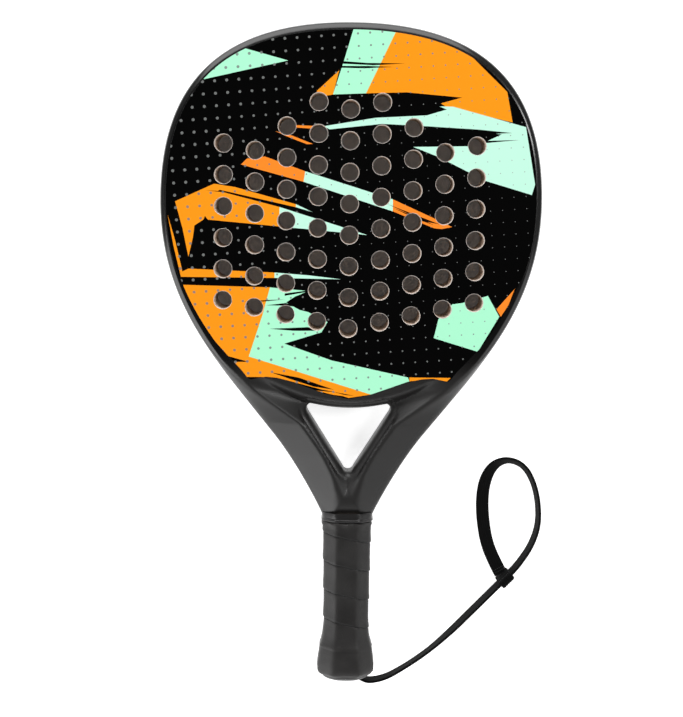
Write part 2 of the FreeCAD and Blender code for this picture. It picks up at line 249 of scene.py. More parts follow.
def finish_normals(piece, sharp_angle=math.radians(40)):
    """Faces outwards, smooth shading, and sharp edges only where faces meet at a clear angle."""
    work = bmesh.new()
    work.from_mesh(piece.data)
    bmesh.ops.recalc_face_normals(work, faces=work.faces)
    work.to_mesh(piece.data)
    work.free()
    piece.data.shade_smooth()
    piece.data.set_sharp_from_angle(angle=sharp_angle)


def webbing_profile(width, thick):
    """Section of a woven strap: flat sides, rounded selvedges and a slight swell by each edge."""
    half = width / 2
    across = np.array([-1, -0.97, -0.86, -0.55, 0, 0.55, 0.86, 0.97])
    swell = np.array([0, 0.32, 0.5, 0.46, 0.47, 0.46, 0.5, 0.32])
    top = np.stack([across * half, swell * thick], 1)
    return np.concatenate([top, -top])


# A wave texture has about this many bands in a unit of length at a scale of 1.
BANDS_AT_SCALE_ONE = 3.2


def webbing_material(name, colour, thread):
    """Woven polyester: matt black threads that cross over and under, with a soft sheen."""
    material, tree = new_material(name)
    uv = add(tree, "ShaderNodeUVMap", {"uv_map": "weave"})
    lengthwise = add(tree, "ShaderNodeTexWave", {"bands_direction": "X", "wave_profile": "SIN"},
                     Vector=uv.outputs[0], Scale=1 / thread / BANDS_AT_SCALE_ONE)
    crosswise = add(tree, "ShaderNodeTexWave", {"bands_direction": "Y", "wave_profile": "SIN"},
                    Vector=uv.outputs[0], Scale=1 / thread / BANDS_AT_SCALE_ONE)
    crossing = add(tree, "ShaderNodeMath", {"operation": "MULTIPLY"},
                   _0=lengthwise.outputs["Fac"], _1=crosswise.outputs["Fac"])
    tone = add(tree, "ShaderNodeMix", {"data_type": "RGBA"}, _0=crossing.outputs[0],
               _6=linear(colour), _7=linear("#0f0f10"))
    bump = add(tree, "ShaderNodeBump", Strength=0.6, Distance=0.0003, Height=crossing.outputs[0])
    shader = add(tree, "ShaderNodeBsdfPrincipled", Base_Color=tone.outputs[2], Roughness=0.78,
                 Normal=bump.outputs[0])
    shader.inputs["Specular IOR Level"].default_value = 0.06
    shader.inputs["Sheen Weight"].default_value = 0.03
    add(tree, "ShaderNodeOutputMaterial", Surface=shader.outputs[0])
    return material


def lay_weave(piece, across_count, path_lengths, girth):
    """UV map in metres: U runs along the webbing and V round it."""
    layer = piece.data.uv_layers.new(name="weave")
    for polygon in piece.data.polygons:
        for corner in polygon.loop_indices:
            vertex = piece.data.loops[corner].vertex_index
            ring, place = divmod(vertex, across_count)
            layer.data[corner].uv = (path_lengths[ring], place * girth / across_count)


THREAD = 0.0007
strap_profile = webbing_profile(STRAP_WIDTH, STRAP_THICK)
strap_rings = swept(strap_path, strap_profile, lean)
strap_faces = tube_faces(len(strap_path), len(strap_profile))
strap_webbing = webbing_material("woven_black_polyester", "#080808", THREAD)
wrist_strap = mesh_piece("wrist_strap_webbing", strap_rings.reshape(-1, 3), strap_faces, strap_webbing)
lay_weave(wrist_strap, len(strap_profile), strap_along, 2 * STRAP_WIDTH)
finish_normals(wrist_strap)

# The webbing is laid out straight along X while its transform is baked, then put back on its route.
laid_out = np.repeat(strap_along, len(strap_profile))
straight = np.stack([laid_out, laid_out * 0, laid_out * 0], 1)
wrist_strap.data.vertices.foreach_set("co", straight.astype(np.float32).ravel())
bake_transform(wrist_strap)
wrist_strap.data.vertices.foreach_set("co", strap_rings.astype(np.float32).ravel())
wrist_strap.data.update()
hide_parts("wrist_strap")

# ---------------------------------------------------------------- strap keeper
# Short sleeve of folded webbing, sewn across, that grips the strap's straight run. Sliding it
# towards the cap opens the loop. The loop's end is sewn to its left side.
KEEPER_PLACE = np.array((112.0, -156.27, 7.15)) * MM
KEEPER_AXIS = np.array((0.69515, 0.71885, -0.00474))
KEEPER_LENGTH = 0.0107
KEEPER_WIDE = 0.0139
KEEPER_DEEP = 0.0061
KEEPER_CORNER = 0.0024
KEEPER_GIRTH = 0.036
KEEPER_SLOT = (0.0105, 0.0026)
SLOT_CORNER = 0.0009
SLOT_WEAVE_ENDS = [0.006, -0.006]
KEEPER_LEAN = math.radians(14)


def rounded_loop(width, height, radius, per_corner=5):
    """Points round a rectangle with rounded corners."""
    points = []
    for cx, cy, turn in ((1, 1, 0), (-1, 1, 90), (-1, -1, 180), (1, -1, 270)):
        for step in range(per_corner):
            angle = math.radians(turn + 90 * step / (per_corner - 1))
            points.append((cx * (width / 2 - radius) + radius * math.cos(angle),
                           cy * (height / 2 - radius) + radius * math.sin(angle)))
    return np.array(points)


def sleeve_faces(outer_rings, around):
    """Faces of a sleeve: the outer rings, then the slot's two rings, joined at both ends."""
    faces = []
    rings = outer_rings + 2
    for ring in range(rings):
        here, there = ring * around, (ring + 1) % rings * around
        for i in range(around):
            j = (i + 1) % around
            faces.append((here + i, here + j, there + j, there + i))
    return faces


keeper_stations = np.linspace(-KEEPER_LENGTH / 2, KEEPER_LENGTH / 2, 41)
RIB_PITCH = 0.0018
RIB_HEIGHT = 0.00012
END_ROUND = 0.0008
END_TUCK = 0.0005
keeper_rings = []
for station in keeper_stations:
    rib = RIB_HEIGHT * math.cos(2 * math.pi * station / RIB_PITCH)
    edge = min(1.0, (KEEPER_LENGTH / 2 - abs(station)) / END_ROUND)
    tuck = END_TUCK * (1 - math.sqrt(1 - (1 - edge) ** 2))
    swell = 2 * (rib - tuck)
    keeper_rings.append(rounded_loop(KEEPER_WIDE + swell, KEEPER_DEEP + swell, KEEPER_CORNER))
slot_loop = rounded_loop(*KEEPER_SLOT, SLOT_CORNER)
keeper_path = np.array([KEEPER_PLACE + KEEPER_AXIS * s for s in keeper_stations])
keeper_body = [swept(keeper_path, ring, np.full(len(keeper_path), KEEPER_LEAN))[i]
               for i, ring in enumerate(keeper_rings)]
slot_ends = swept(keeper_path, slot_loop, np.full(len(keeper_path), KEEPER_LEAN))
keeper_points = np.concatenate(keeper_body + [slot_ends[-1], slot_ends[0]])
strap_keeper = mesh_piece("strap_keeper_sleeve", keeper_points,
                          sleeve_faces(len(keeper_rings), len(slot_loop)),
                          webbing_material("folded_black_webbing", "#060606", THREAD))
lay_weave(strap_keeper, len(slot_loop), list(keeper_stations) + SLOT_WEAVE_ENDS, KEEPER_GIRTH)
finish_normals(strap_keeper)
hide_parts("strap_keeper")
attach(strap_keeper, "keeper")

# Rows of bonded nylon stitches hold the keeper's fold and the loop's sewn end. One tree lays a
# stitch on each point, turned along its row.
STITCH_LENGTH = 0.0011
STITCH_PITCH = 0.0014
THREAD_RADIUS = 0.00017
KEEPER_ROW_OFFSET = 0.0042
KEEPER_ROW_STITCHES = 7
END_ROW_SET_BACKS = (0.0022, 0.0042)
END_ROW_STITCHES = 6
END_STITCH_LIFT = 0.00082
stitch_thread, tree = new_material("bonded_nylon_thread")
places = add(tree, "ShaderNodeTexCoord")
twist = add(tree, "ShaderNodeTexWave", {"bands_direction": "DIAGONAL"}, Vector=places.outputs["Object"],
            Scale=2500.0)
tone = add(tree, "ShaderNodeMix", {"data_type": "RGBA"}, _0=twist.outputs["Fac"],
           _6=linear("#161617"), _7=linear("#2a2a2c"))
shader = add(tree, "ShaderNodeBsdfPrincipled", Base_Color=tone.outputs[2], Roughness=0.5)
add(tree, "ShaderNodeOutputMaterial", Surface=shader.outputs[0])

stitching = bpy.data.node_groups.new("stitching", "GeometryNodeTree")
stitching.interface.new_socket("Places", in_out="INPUT", socket_type="NodeSocketGeometry")
length_input = stitching.interface.new_socket("Stitch length", in_out="INPUT", socket_type="NodeSocketFloat")
radius_input = stitching.interface.new_socket("Thread radius", in_out="INPUT", socket_type="NodeSocketFloat")
stitching.interface.new_socket("Stitches", in_out="OUTPUT", socket_type="NodeSocketGeometry")
given = add(stitching, "NodeGroupInput")
bead = add(stitching, "GeometryNodeMeshUVSphere", Segments=8, Rings=6, Radius=1.0)
half_length = add(stitching, "ShaderNodeMath", {"operation": "MULTIPLY"}, _0=given.outputs[1], _1=0.5)
stitch_size = add(stitching, "ShaderNodeCombineXYZ", _0=half_length.outputs[0], _1=given.outputs[2],
                  _2=given.outputs[2])
turned = add(stitching, "GeometryNodeInputNamedAttribute", {"data_type": "FLOAT_VECTOR"}, Name="turn")
rotation = add(stitching, "FunctionNodeEulerToRotation", Euler=turned.outputs[0])
laid = add(stitching, "GeometryNodeInstanceOnPoints", Points=given.outputs[0], Instance=bead.outputs[0],
           Rotation=rotation.outputs[0], Scale=stitch_size.outputs[0])
solid = add(stitching, "GeometryNodeRealizeInstances", Geometry=laid.outputs[0])
coloured = add(stitching, "GeometryNodeSetMaterial", Geometry=solid.outputs[0], Material=stitch_thread)
add(stitching, "NodeGroupOutput", _0=coloured.outputs[0])


def leaning_axes(along, lean_angle):
    """Directions across a webbing's width and out of its face, for its run and its lean."""
    along = Vector(along).normalized()
    side = along.cross(Vector((0, 0, 1))).normalized()
    up = side.cross(along)
    return (up * math.cos(lean_angle) + side * math.sin(lean_angle),
            side * math.cos(lean_angle) - up * math.sin(lean_angle))


stitch_places = []
stitch_turns = []


def stitch_row(middle, direction, count):
    """Add one straight row of stitches to the places and turns."""
    turn_to = direction.to_track_quat("X", "Z").to_euler()
    for i in range(count):
        stitch_places.append(middle + direction * STITCH_PITCH * (i - (count - 1) / 2))
        stitch_turns.append(tuple(turn_to))


keeper_run = Vector(KEEPER_AXIS)
keeper_wide, keeper_out = leaning_axes(keeper_run, KEEPER_LEAN)
for face_side in (-1, 1):
    for height in (-KEEPER_ROW_OFFSET, KEEPER_ROW_OFFSET):
        middle = Vector(KEEPER_PLACE) + keeper_wide * height + keeper_out * face_side * KEEPER_DEEP / 2
        stitch_row(middle, keeper_run, KEEPER_ROW_STITCHES)
end_run = Vector(strap_path[-1] - strap_path[-4]).normalized()
end_wide, end_out = leaning_axes(end_run, lean[-1])
for set_back in END_ROW_SET_BACKS:
    for face_side in (-1, 1):
        middle = Vector(strap_path[-1]) - end_run * set_back + end_out * face_side * END_STITCH_LIFT
        stitch_row(middle, end_wide, END_ROW_STITCHES)
keeper_stitches = mesh_piece("keeper_stitching", stitch_places, [])
turn_layer = keeper_stitches.data.attributes.new("turn", "FLOAT_VECTOR", "POINT")
turn_layer.data.foreach_set("vector", np.array(stitch_turns, np.float32).ravel())
sewn = keeper_stitches.modifiers.new("stitching", "NODES")
sewn.node_group = stitching
sewn[length_input.identifier] = STITCH_LENGTH
sewn[radius_input.identifier] = THREAD_RADIUS
bpy.context.view_layer.update()
sewn_mesh = bpy.data.meshes.new_from_object(
    keeper_stitches.evaluated_get(bpy.context.evaluated_depsgraph_get()))
keeper_stitches.modifiers.clear()
keeper_stitches.data = sewn_mesh
keeper_stitches.data.shade_smooth()
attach(keeper_stitches, "keeper")

# ---------------------------------------------------------------- racket frame and throat
# Hollow carbon and glass composite tube, moulded in one piece with the throat's two arms and the
# bridge under the face. It is sprayed gloss black, then clear coated; the throat is a satin black.
MIDDLE_Z = 19.0
FACE_Z = 38.0
FACE_MIDDLE = (0.0, 107.0)
HEAD_ROUND = 5.0
EDGE_DROP = 2.1
CORNER_DROP = 2.4
CORNER_REACH = 1.6
OUTLINE = [
    ((0, 227.5), (88, 227.5), (130, 187), (130, 107)),
    ((130, 107), (130, 52), (105.87, 15.3), (77.7, -19.8)),
    ((77.7, -19.8), (68.8, -30.9), (59.8, -42.1), (50.9, -53.2)),
    ((50.9, -53.2), (38.38, -68.8), (23.7, -94.4), (17.1, -109)),
]
NECK = [(16.2, -110), (15.2, -110.8), (15.2, -114)]
GAP = [(26.4, -31), (27.6, -31.6), (28.6, -33), (28.7, -35), (27.9, -37), (3.9, -75.0), (3.0, -76.8),
       (1.6, -77.9), (0.0, -78.2)]
GAP_SAG_Y = -34.1
GAP_TOP_Y = -31.0
GAP_ROUND = 5
# A height above every surface, where a rule sets no limit.
NO_LIMIT = 99


def bezier(poles, count):
    """Points along a cubic curve, its last one left out."""
    t = np.linspace(0, 1, count, endpoint=False)[:, None]
    a, b, c, d = (np.array(pole, float) for pole in poles)
    return (1 - t) ** 3 * a + 3 * (1 - t) ** 2 * t * b + 3 * (1 - t) * t ** 2 * c + t ** 3 * d


def even_loop(points, step):
    """A closed polyline with its points about a step apart."""
    closed = np.vstack([points, points[:1]])
    spans = np.linalg.norm(np.diff(closed, axis=0), axis=1)
    along = np.concatenate([[0], np.cumsum(spans)])
    stations = np.linspace(0, along[-1], int(along[-1] / step), endpoint=False)
    return np.stack([np.interp(stations, along, closed[:, i]) for i in range(2)], 1)


def mirrored(right_half):
    """Closed loop, anticlockwise, from its right half given from top to bottom."""
    left_half = right_half[::-1] * (-1, 1)
    keep = np.abs(left_half[:, 0]) > 0.01
    return np.vstack([right_half, left_half[keep]])[::-1]


def distance_to(loop, points):
    """Distance from each point to a closed polyline."""
    a = loop
    b = np.roll(loop, -1, 0)
    best = np.full(len(points), 1e9)
    for p, q in zip(a, b):
        span = q - p
        t = np.clip(((points - p) @ span) / (span @ span), 0, 1)
        best = np.minimum(best, np.linalg.norm(points - p - t[:, None] * span, axis=1))
    return best


def inside(loop, points):
    """Whether each point is inside a closed polyline."""
    x, y = points[:, 0], points[:, 1]
    result = np.zeros(len(points), bool)
    for (px, py), (qx, qy) in zip(loop, np.roll(loop, -1, 0)):
        if py == qy:
            continue
        crosses = ((py > y) != (qy > y)) & (x < (qx - px) * (y - py) / (qy - py) + px)
        result ^= crosses
    return result


def loop_inset(loop, distance):
    """The loop moved inwards by a distance, or by one distance for each point."""
    tangent = np.roll(loop, -1, 0) - np.roll(loop, 1, 0)
    tangent /= np.linalg.norm(tangent, axis=1)[:, None]
    inward = np.stack([-tangent[:, 1], tangent[:, 0]], 1)
    return loop + inward * np.reshape(distance, (-1, 1))


right_side = np.vstack([bezier(poles, 300) for poles in OUTLINE] + [np.array([(17.1, -109)] + NECK, float)])
outline = even_loop(mirrored(right_side), 1.5)
sag_x = np.linspace(0.0, 26.4, 16, endpoint=False)
gap_top = np.stack([sag_x, GAP_SAG_Y + (GAP_TOP_Y - GAP_SAG_Y) * (sag_x / 26.4) ** 2], 1)
gap = even_loop(mirrored(np.vstack([gap_top, np.array(GAP, float)])), 1.0)

# The face's laminate stops short of the outline by a border, and in a wave above the throat.
border_y = [-14, 8, 33, 50, 60, 150, 200, 228]
border_width = [11.5, 8.4, 7.5, 7.0, 5.6, 5.4, 6.3, 6.6]
face_wave = [(0, -26.3), (17, -22.6), (28, -18.6), (40.7, -14.3), (49, -12.3), (56.9, -11.7), (66.9, -13.7)]
rim = loop_inset(outline, np.interp(outline[:, 1], border_y, border_width))
rim_right = rim[(rim[:, 0] > 0) & (rim[:, 1] > -13.7)]
rim_right = rim_right[np.argsort(-rim_right[:, 1])]
face_edge = even_loop(mirrored(np.vstack([rim_right, np.array(face_wave[::-1], float)])), 2.0)

RIDGE_Y = [-109, -104, -95, -81, -67, -44, -21, -12, 0]
RIDGE_IN = [10.8, 12.5, 16.5, 20, 21, 20.5, 8.4, 6, 4]
CREST_Y = [-109, -85, -60, -30]
CREST_HEIGHT = [15, 16.2, 17.5, 19]
SHOULDER_Y = [-109, -90, -67, -44, -25, -10, 20]
SHOULDER_HEIGHT = [7.4, 7.5, 7.5, 8.5, 11, 13, 14]
FALL_Y = [-104, -78, -44, -30, -22, -20, -12]
FALL_SLOPE = [0, 0.85, 0.85, 0.6, 0.36, 0.3, 0]


def soft_least(a, b, blend):
    """The lesser of two heights, with the crease between them rounded."""
    mix = np.clip(0.5 + 0.5 * (b - a) / blend, 0, 1)
    return b * (1 - mix) + a * mix - blend * mix * (1 - mix)


def half_thickness(points):
    """Height of the moulding over its middle plane, in millimetres."""
    x, y = points[:, 0], points[:, 1]
    from_outline = distance_to(outline, points)
    from_gap = distance_to(gap, points)
    head_reach = np.interp(y, [150, 215], [HEAD_ROUND, HEAD_ROUND + 1.4])
    set_in = np.minimum(from_outline, head_reach)
    corner = np.clip(1 - set_in / CORNER_REACH, 0, 1) ** 2.2
    head = MIDDLE_Z - EDGE_DROP * (1 - set_in / head_reach) - CORNER_DROP * corner
    head = soft_least(head, np.full(len(points), MIDDLE_Z), 0.5)
    ridge_in = np.interp(y, RIDGE_Y, RIDGE_IN)
    crest = np.interp(y, CREST_Y, CREST_HEIGHT)
    shoulder = np.interp(y, SHOULDER_Y, SHOULDER_HEIGHT)
    bevel = shoulder - 1.5 * np.exp(-from_outline / 1.2) + (crest - shoulder) * from_outline / ridge_in
    fall = crest - np.interp(y, FALL_Y, FALL_SLOPE) * (from_outline - ridge_in)
    arm = soft_least(bevel, fall, 3.0)
    plate_edge = GAP_SAG_Y + 0.0046 * x ** 2
    over_edge = (y - plate_edge) * np.cos(np.arctan(0.0092 * x))
    rise = np.clip(over_edge / 8, 0, 1)
    plate = np.where(over_edge > 0, 4 + 15 * np.sqrt(1 - (1 - rise) ** 2), 4 + 2 * over_edge)
    throat = -soft_least(-arm, -plate, 1.5)
    gap_rise = np.sqrt(np.maximum(0, GAP_ROUND ** 2 - (GAP_ROUND - np.minimum(from_gap, GAP_ROUND)) ** 2))
    gap_round = np.where(from_gap < GAP_ROUND, 6 + gap_rise * 1.4, NO_LIMIT)
    throat = soft_least(throat, gap_round, 2.0)
    share = np.clip((15 - y) / 40, 0, 1)
    share = share * share * (3 - 2 * share)
    return np.clip(head * (1 - share) + throat * share, 3.0, MIDDLE_Z)


def rings_inside(loop, distances, sign):
    """Rings of points set in from a loop, without those that land nearer to it than they should."""
    kept = []
    for distance in distances:
        ring = loop_inset(loop, distance * sign)
        kept.append(ring[distance_to(loop, ring) > distance * 0.97])
    return np.vstack(kept)


def triangulated(loops, loose_points):
    """Triangles between closed loops and loose points, with the loops' edges kept."""
    points = [tuple(p) for loop in loops for p in loop] + [tuple(p) for p in loose_points]
    edges = []
    start = 0
    for loop in loops:
        edges += [(start + i, start + (i + 1) % len(loop)) for i in range(len(loop))]
        start += len(loop)
    result = delaunay_2d_cdt([Vector(p) for p in points], edges, [], 0, 1e-5)
    places = np.array([tuple(v) for v in result[0]])
    return places, np.array([tuple(f) for f in result[2]])


GRID = 1.0
grid_x, grid_y = np.meshgrid(np.arange(-90, 90, GRID), np.arange(-112.5, 12, GRID))
grid = np.stack([grid_x.ravel() + (np.round(grid_y.ravel() / GRID) % 2) * GRID / 2, grid_y.ravel()], 1)
near_outline = rings_inside(outline, [0.15, 0.4, 0.8, 1.3, 2.0, 2.8, 3.6, 4.4, 5.2], 1)
near_gap = rings_inside(gap, [0.15, 0.4, 0.8, 1.3, 2.0, 2.8, 3.6, 4.4], -1)
grid = grid[(distance_to(outline, grid) > 5.9) & (distance_to(gap, grid) > 5.2)]
loose = np.vstack([near_outline, near_gap, grid])
loose = loose[inside(outline, loose) & ~inside(gap, loose) & ~inside(face_edge, loose)]
loose = loose[distance_to(face_edge, loose) > 0.4]
flat, triangles = triangulated([outline, gap, face_edge], loose)
centres = flat[triangles].mean(1)
triangles = triangles[inside(outline, centres) & ~inside(gap, centres) & ~inside(face_edge, centres)]
heights = half_thickness(flat)
count = len(flat)
# The sides are crowned: widest at the middle plane, and drawn in towards both faces.
SIDE_CROWN = 1.3
CROWN_REACH = 6.0
SIDE_HALF = 14
nearest_edge = np.array([np.argmin(((outline - p) ** 2).sum(1)) for p in flat])
edge_inward = loop_inset(outline, 1.0) - outline
fade = np.clip(1 - distance_to(outline, flat) / CROWN_REACH, 0, 1) ** 1.5
edge_height = half_thickness(outline)
drawn_in = SIDE_CROWN * (edge_height / SIDE_HALF) ** 2
crowned = flat + edge_inward[nearest_edge] * (fade * drawn_in[nearest_edge])[:, None]
shell_points = [(x, y, MIDDLE_Z + h) for (x, y), h in zip(crowned, heights)]
shell_points += [(x, y, MIDDLE_Z - h) for (x, y), h in zip(crowned, heights)]
shell_faces = [tuple(t) for t in triangles] + [tuple(t + count)[::-1] for t in triangles]
# The face's laminates sit on a ledge that runs round inside the shell's opening.
LIP = 1.0
LEDGE_SHARE = 0.965
loop_start = 0
for loop, is_face_edge in ((outline, False), (gap, False), (face_edge, True)):
    ring = list(range(loop_start, loop_start + len(loop)))
    loop_start += len(loop)
    steps = [ring]
    if is_face_edge:
        centre = np.array(FACE_MIDDLE)
        ledge = centre + (loop - centre) * LEDGE_SHARE
        for places, z in ((loop, FACE_Z - LIP), (ledge, FACE_Z - LIP), (ledge, LIP), (loop, LIP)):
            steps.append(list(range(len(shell_points), len(shell_points) + len(loop))))
            shell_points += [(x, y, z) for x, y in places]
    else:
        ring_heights = heights[ring]
        pull = edge_inward * drawn_in[:, None] if loop is outline else np.zeros((len(loop), 2))
        for share in (0.75, 0.5, 0.25, 0.0, -0.25, -0.5, -0.75):
            steps.append(list(range(len(shell_points), len(shell_points) + len(loop))))
            places = loop + pull * share ** 2
            shell_points += [(x, y, MIDDLE_Z + share * h) for (x, y), h in zip(places, ring_heights)]
    steps.append([i + count for i in ring])
    for upper, lower in zip(steps, steps[1:]):
        for i in range(len(loop)):
            j = (i + 1) % len(loop)
            shell_faces.append((upper[i], lower[i], lower[j], upper[j]))

# Two finishes by a painted mask: gloss black on the head, satin graphite black on the throat.
frame_lacquer, tree = new_material("clear_coated_black_composite")
places = add(tree, "ShaderNodeTexCoord")
parts = add(tree, "ShaderNodeSeparateXYZ", _0=places.outputs["Object"])
throat_mask = add(tree, "ShaderNodeMapRange", {"interpolation_type": "SMOOTHSTEP"}, _0=parts.outputs["Y"],
                  _1=0.012, _2=-0.022, _3=0.0, _4=1.0)
orange_peel = add(tree, "ShaderNodeTexNoise", Vector=places.outputs["Object"], Scale=420.0, Detail=1.0)
fine_grain = add(tree, "ShaderNodeTexNoise", Vector=places.outputs["Object"], Scale=2600.0, Detail=2.0)
tone = add(tree, "ShaderNodeMix", {"data_type": "RGBA"}, _0=throat_mask.outputs[0],
           _6=linear("#040404"), _7=linear("#0d0b0a"))
gloss = add(tree, "ShaderNodeMapRange", _0=throat_mask.outputs[0], _3=0.12, _4=0.46)
speck = add(tree, "ShaderNodeMath", {"operation": "MULTIPLY_ADD"}, _0=fine_grain.outputs["Fac"], _1=0.08,
            _2=gloss.outputs[0])
bump = add(tree, "ShaderNodeBump", Strength=0.05, Distance=0.0002, Height=orange_peel.outputs["Fac"])
shader = add(tree, "ShaderNodeBsdfPrincipled", Base_Color=tone.outputs[2], Roughness=speck.outputs[0],
             Normal=bump.outputs[0])
shader.inputs["IOR"].default_value = 1.5
shader.inputs["Coat Weight"].default_value = 0.3
shader.inputs["Coat Roughness"].default_value = 0.3
add(tree, "ShaderNodeOutputMaterial", Surface=shader.outputs[0])

frame_shell = mesh_piece("frame_and_throat", np.array(shell_points) * MM, shell_faces, frame_lacquer)
finish_normals(frame_shell, math.radians(38))
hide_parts("frame_tube", "throat_bridge", "tube_filler", "bridge_filler")
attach(frame_shell, "racket")

# ---------------------------------------------------------------- face laminates
# Two thin laminates of glass fibre in resin, one on each side of the core. A printed film of sharp
# shards with a dot screen lies under the gloss lacquer, and 62 holes are drilled through both.
HOLE_RADIUS = 6.0
HOLE_RIM = 0.28
HOLE_SIDES = 36
HOLE_MIDDLE_X = -1.0
HOLE_PITCH = (21.2, 21.0)
TOP_HOLE_Y = 168.7
COLUMN_RISE = 4.6
# The first row that each column has, from the middle column outwards, and the number of rows.
TOP_ROWS = (0, 0, 1, 2, 2)
HOLE_ROWS = 8
SIDE_COLUMNS = 4
SKIN_THICK = 1.0
RIM_DEEP = 0.5
INKS = {
    "black": "#040404",
    "orange": "#ff9a1c",
    "deep": "#ff8d2c",
    "mint": "#b0fbd3",
    "pale": "#c6fae3",
    "rim": "#e4dcd6",
}
# Each shard is an ink and its corners in millimetres. Later ones lie over earlier ones.
SHARDS = [
    ("mint", [(-73, 208), (-43, 200), (-99, 187), (-106, 194)]),
    ("mint", [(1, 224), (28, 222), (28, 219), (9, 179), (-13, 178), (-6, 200)]),
    ("orange", [(28, 226), (56, 216), (79, 204), (103, 181), (107, 161), (62, 171), (59, 173), (73, 177),
                (36, 180), (9, 179), (28, 219)]),
    ("black", [(-7, 200), (10, 199), (35, 199), (14, 197.5), (-7, 198.3)]),
    ("black", [(-8, 196.8), (10, 197), (27, 196.6), (8, 195.4), (-8, 195.6)]),
    ("orange", [(-9, 194), (-24, 180), (-18, 177), (-13, 178)]),
    ("pale", [(-19, 157), (16, 163), (50, 165), (63, 169), (58, 171), (67, 171), (116, 158), (123, 120),
              (121, 113), (90, 122), (57, 138), (41, 144), (83, 145), (100, 153), (46, 158), (20, 159),
              (-15, 155)]),
    ("black", [(46, 158), (84, 156), (107, 154), (90, 153), (99, 152), (74, 151), (93, 150), (57, 149),
               (60, 147.6), (112, 149.4), (84, 146.6), (62, 145), (41, 144), (30, 150)]),
    ("deep", [(-51, 153.4), (-40, 150.6), (-26, 145.2), (-30, 145.0), (-42, 149.4)]),
    ("deep", [(-38, 157.5), (-22, 157), (-22, 155), (-38, 156)]),
    ("deep", [(-70, 135), (-58, 136.5), (-31, 127), (-32, 120), (-74, 131)]),
    ("pale", [(-31, 127), (28, 109), (28, 101), (-32, 120)]),
    ("deep", [(28, 109), (55, 97), (68, 91), (61, 89.6), (56, 90), (28, 101)]),
    ("black", [(24, 106), (52, 95.5), (60, 92.6), (50, 94.4)]),
    ("black", [(28, 103.4), (46, 96.6), (56, 92), (44, 96)]),
    ("orange", [(-118, 106), (-92, 118), (-78, 116), (-37, 105), (-37, 103), (-88, 114), (-92, 112)]),
    ("pale", [(-37, 105), (-26, 100), (-37, 103)]),
    ("orange", [(-118, 106), (-92, 114), (-48, 103), (-48, 90), (-96, 94), (-98, 96.5), (-99, 94),
                (-105, 90), (-106, 82), (-109, 69), (-113, 88)]),
    ("pale", [(-48, 103), (11, 85), (-48, 90)]),
    ("black", [(-98, 113.6), (-84, 113), (-44, 103.4), (-82, 112)]),
    ("orange", [(-123, 97), (-118, 80), (-113, 59), (-109, 61), (-51, 59), (-51, 55.4), (-114, 55.4),
                (-119, 76)]),
    ("pale", [(-51, 59), (-28, 57.4), (-6, 55), (-51, 55.4)]),
    ("orange", [(-113, 50), (-54, 49), (-59, 30), (-68, 2), (15, -23), (0, -25.5), (-22, -19), (-52, -12),
                (-76, -12), (-90, 6), (-99, 20)]),
    ("mint", [(-54, 49), (-30, 47), (-44, 45), (-44, 43.4), (-30, 46), (-37, 43), (-43, 39), (-34, 34),
              (-28, 32.6), (-15, 26), (-19, 19), (-44, 11), (-12, 0), (40, -11), (41, -13.6), (15, -23),
              (-68, 2), (-59, 30)]),
    ("black", [(-72, 39), (-56, 40.4), (-44, 41), (-58, 39.4)]),
    ("black", [(-57, 36.8), (-43, 38.6), (-34, 36), (-46, 36.8)]),
    ("black", [(-54, 21), (-28, 22.4), (-21, 20), (-38, 19.8)]),
    ("black", [(-82, 2), (-68, -1.6), (-80, -2)]),
    ("black", [(-53, -8.6), (-34, -12), (-10, -20), (-24, -18), (-40, -13)]),
    ("black", [(-50, -12), (-34, -16), (-18, -20), (4, -24), (-16, -22.6), (-36, -19)]),
    ("orange", [(-22, -20.8), (-10, -21.6), (3, -25), (-10, -23.6)]),
    ("orange", [(41, -11), (69, -11), (66, -14), (56, -12.4), (41, -13.6)]),
    ("mint", [(69, 39), (76, 40), (93, 45), (101, 31), (87, 7), (57, 16), (60, 29)]),
    ("deep", [(111, 50), (99, 36), (102, 31), (107, 39)]),
]

hole_centres = np.array([
    (HOLE_MIDDLE_X + HOLE_PITCH[0] * column,
     TOP_HOLE_Y + COLUMN_RISE * abs(column) - HOLE_PITCH[1] * row)
    for column in range(-SIDE_COLUMNS, SIDE_COLUMNS + 1)
    for row in range(TOP_ROWS[abs(column)], HOLE_ROWS)])
turn = np.linspace(0, 2 * math.pi, HOLE_SIDES, endpoint=False)
unit_circle = np.stack([np.cos(turn), np.sin(turn)], 1)
hole_loops = [centre + unit_circle * (HOLE_RADIUS + HOLE_RIM) for centre in hole_centres]
shard_loops = [np.array(points, float) for ink, points in SHARDS]
flat, triangles = triangulated([face_edge] + hole_loops + shard_loops, np.zeros((0, 2)))


def hole_gap(points):
    """Distance from each point to the nearest hole's centre, and that centre."""
    offsets = points[:, None] - hole_centres[None]
    reach = np.linalg.norm(offsets, axis=2)
    nearest_hole = reach.argmin(1)
    return reach.min(1), hole_centres[nearest_hole]


centres = flat[triangles].mean(1)
drilled = np.zeros(len(centres), bool)
for loop in hole_loops:
    drilled |= inside(loop, centres)
triangles = triangles[inside(face_edge, centres) & ~drilled]
used, triangles = np.unique(triangles, return_inverse=True)
triangles = triangles.reshape(-1, 3)
flat = flat[used]
centres = flat[triangles].mean(1)
inks = np.full(len(triangles), "black", dtype="<U8")
for (ink, points), loop in zip(SHARDS, shard_loops):
    inks[inside(loop, centres)] = ink

